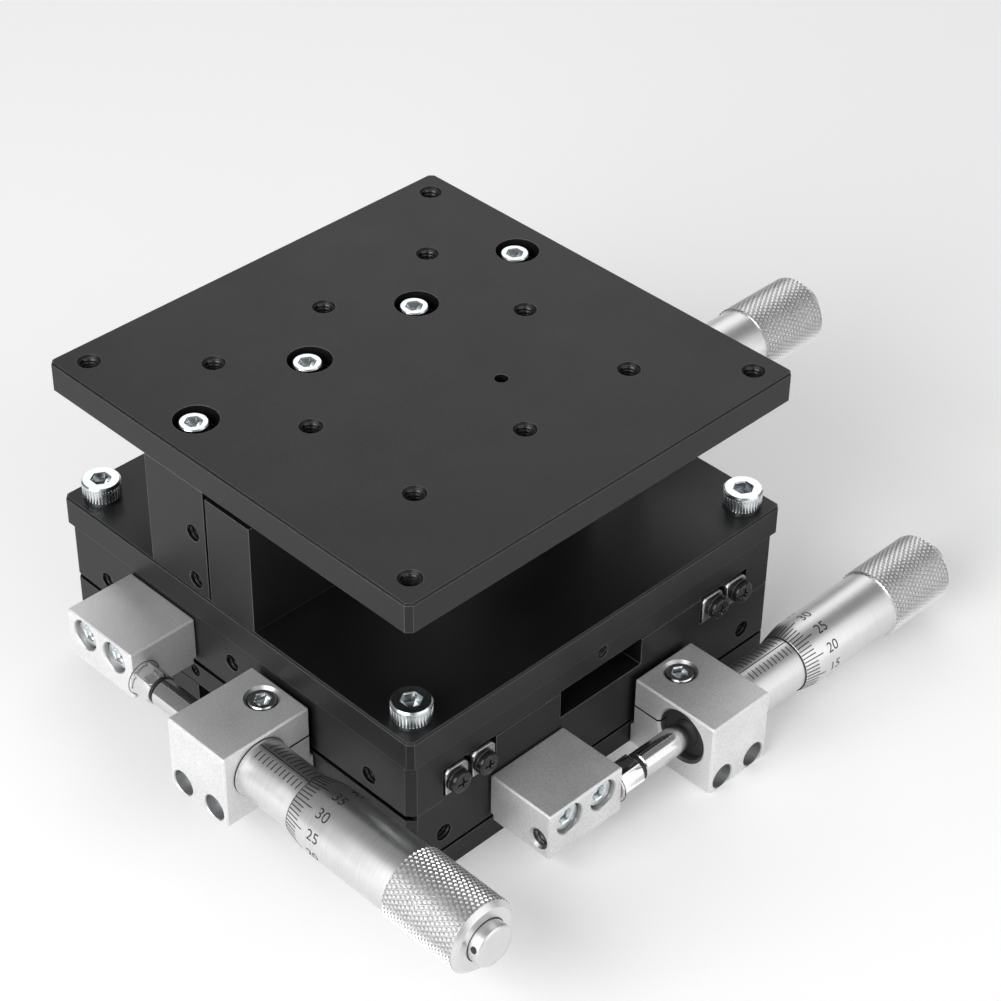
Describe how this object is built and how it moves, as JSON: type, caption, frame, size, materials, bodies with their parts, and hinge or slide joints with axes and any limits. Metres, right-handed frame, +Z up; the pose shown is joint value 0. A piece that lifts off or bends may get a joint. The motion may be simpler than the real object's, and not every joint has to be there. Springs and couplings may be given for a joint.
{
  "type": "manual x-y-z stage",
  "caption": "Manual x-y-z translation stage: stacked crossed-roller plates with side micrometer heads, a wedge-lifted vertical axis and a square tapped top plate.",
  "frame": {"origin": "centre of the base plate's bottom face", "axes": "+Z up; X and Y along the base's sides; the X micrometer stands on the -Y face with its knob towards +X, the Y micrometer on the -X face with its knob towards -Y"},
  "size_m": [0.1515, 0.1213, 0.0623],
  "materials": {
    "black_anodised": "satin black anodised",
    "silver_block": "bead blasted, clear anodised",
    "rail_steel": "ground and hardened",
    "bright_steel": "bright plated",
    "black_screw": "black oxide",
    "satin_chrome": "satin chrome plated",
    "cage_brass": "plain",
    "spring_steel": "plain"
  },
  "bodies": {
    "base": {"base_plate": "black_anodised", "x_inner_rails": "rail_steel", "x_inner_stoppers": "bright_steel", "x_inner_stopper_screws": "black_screw", "x_holder": "silver_block", "x_holder_screws": "bright_steel", "x_sleeve": "satin_chrome", "x_spring": "spring_steel"},
    "x_carriage": {"mid_plate": "black_anodised", "x_outer_rails": "rail_steel", "x_outer_stoppers": "bright_steel", "x_outer_stopper_screws": "black_screw", "x_stop_block": "silver_block", "x_stop_screws": "bright_steel", "x_anvil": "bright_steel", "y_inner_rails": "rail_steel", "y_inner_stoppers": "bright_steel", "y_inner_stopper_screws": "black_screw", "y_holder": "silver_block", "y_holder_screws": "bright_steel", "y_sleeve": "satin_chrome", "y_spring": "spring_steel"},
    "y_carriage": {"table_plate": "black_anodised", "y_outer_rails": "rail_steel", "y_outer_stoppers": "bright_steel", "y_outer_stopper_screws": "black_screw", "y_stop_block": "silver_block", "y_stop_screws": "bright_steel", "y_anvil": "bright_steel", "adapter_plate": "black_anodised", "adapter_washers": "bright_steel", "adapter_screws": "bright_steel", "front_upright": "black_anodised", "z_inner_rails": "rail_steel", "z_holder": "silver_block", "z_holder_screws": "bright_steel", "z_sleeve": "satin_chrome", "wedge_guide": "silver_block"},
    "z_carriage": {"rear_upright": "black_anodised", "z_outer_rails": "rail_steel", "top_plate": "black_anodised", "top_plate_screws": "bright_steel", "follower_bracket": "silver_block", "bracket_screws": "bright_steel", "roller_pin": "rail_steel"},
    "z_wedge": {"wedge": "rail_steel", "z_anvil": "bright_steel"},
    "z_roller": {"follower_roller": "rail_steel"},
    "x_cage_rows": {"x_cages": "cage_brass"},
    "y_cage_rows": {"y_cages": "cage_brass"},
    "z_cage_rows": {"z_cages": "cage_brass"},
    "x_spindle_body": {"x_spindle": "rail_steel"},
    "y_spindle_body": {"y_spindle": "rail_steel"},
    "z_spindle_body": {"z_spindle": "rail_steel"},
    "x_thimble_body": {"x_thimble": "satin_chrome", "x_cap": "satin_chrome"},
    "y_thimble_body": {"y_thimble": "satin_chrome", "y_cap": "satin_chrome"},
    "z_thimble_body": {"z_thimble": "satin_chrome", "z_cap": "satin_chrome"}
  },
  "joints": [
    {"name": "x_slide", "type": "slide", "parent": "base", "child": "x_carriage", "axis": [-1, 0, 0], "range_m": [-0.0125, 0.0125], "deforming": ["x_spring"]},
    {"name": "x_advance", "type": "slide", "parent": "base", "child": "x_spindle_body", "axis": [-1, 0, 0], "range_m": [-0.0125, 0.0125]},
    {"name": "x_turn", "type": "hinge", "parent": "x_spindle_body", "child": "x_thimble_body", "pos_m": [0.05, -0.0562, 0.0091], "axis": [-1, 0, 0], "range_deg": [-9000, 9000]},
    {"name": "x_cage_slide", "type": "slide", "parent": "base", "child": "x_cage_rows", "axis": [-1, 0, 0], "range_m": [-0.00625, 0.00625]},
    {"name": "y_slide", "type": "slide", "parent": "x_carriage", "child": "y_carriage", "axis": [0, 1, 0], "range_m": [-0.0125, 0.0125], "deforming": ["y_spring"]},
    {"name": "y_advance", "type": "slide", "parent": "x_carriage", "child": "y_spindle_body", "axis": [0, 1, 0], "range_m": [-0.0125, 0.0125]},
    {"name": "y_turn", "type": "hinge", "parent": "y_spindle_body", "child": "y_thimble_body", "pos_m": [-0.0561, -0.05, 0.0199], "axis": [0, 1, 0], "range_deg": [-9000, 9000]},
    {"name": "y_cage_slide", "type": "slide", "parent": "x_carriage", "child": "y_cage_rows", "axis": [0, 1, 0], "range_m": [-0.00625, 0.00625]},
    {"name": "z_slide", "type": "slide", "parent": "y_carriage", "child": "z_carriage", "axis": [0, 0, 1], "range_m": [0, 0.01]},
    {"name": "z_advance", "type": "slide", "parent": "y_carriage", "child": "z_spindle_body", "axis": [-1, 0, 0], "range_m": [0, 0.01]},
    {"name": "z_turn", "type": "hinge", "parent": "z_spindle_body", "child": "z_thimble_body", "pos_m": [0.06, -0.0134, 0.0411], "axis": [-1, 0, 0], "range_deg": [0, 7200]},
    {"name": "wedge_slide", "type": "slide", "parent": "y_carriage", "child": "z_wedge", "axis": [-1, 0, 0], "range_m": [0, 0.01]},
    {"name": "z_cage_slide", "type": "slide", "parent": "y_carriage", "child": "z_cage_rows", "axis": [0, 0, 1], "range_m": [0, 0.005]},
    {"name": "roller_turn", "type": "hinge", "parent": "z_carriage", "child": "z_roller", "pos_m": [-0.01051, -0.0134, 0.04146], "axis": [0, 1, 0], "range_deg": [0, 232]}
  ],
  "couplings": [
    {"joint": "x_advance", "follows": "x_slide", "ratio": 1},
    {"joint": "x_turn", "follows": "x_slide", "rad_per_m": 12566},
    {"joint": "x_cage_slide", "follows": "x_slide", "ratio": 0.5},
    {"joint": "y_advance", "follows": "y_slide", "ratio": 1},
    {"joint": "y_turn", "follows": "y_slide", "rad_per_m": 12566},
    {"joint": "y_cage_slide", "follows": "y_slide", "ratio": 0.5},
    {"joint": "z_advance", "follows": "z_slide", "ratio": 1},
    {"joint": "z_turn", "follows": "z_slide", "rad_per_m": 12566},
    {"joint": "wedge_slide", "follows": "z_slide", "ratio": 1},
    {"joint": "z_cage_slide", "follows": "z_slide", "ratio": 0.5},
    {"joint": "roller_turn", "follows": "z_slide", "rad_per_m": 404.06}
  ]
}
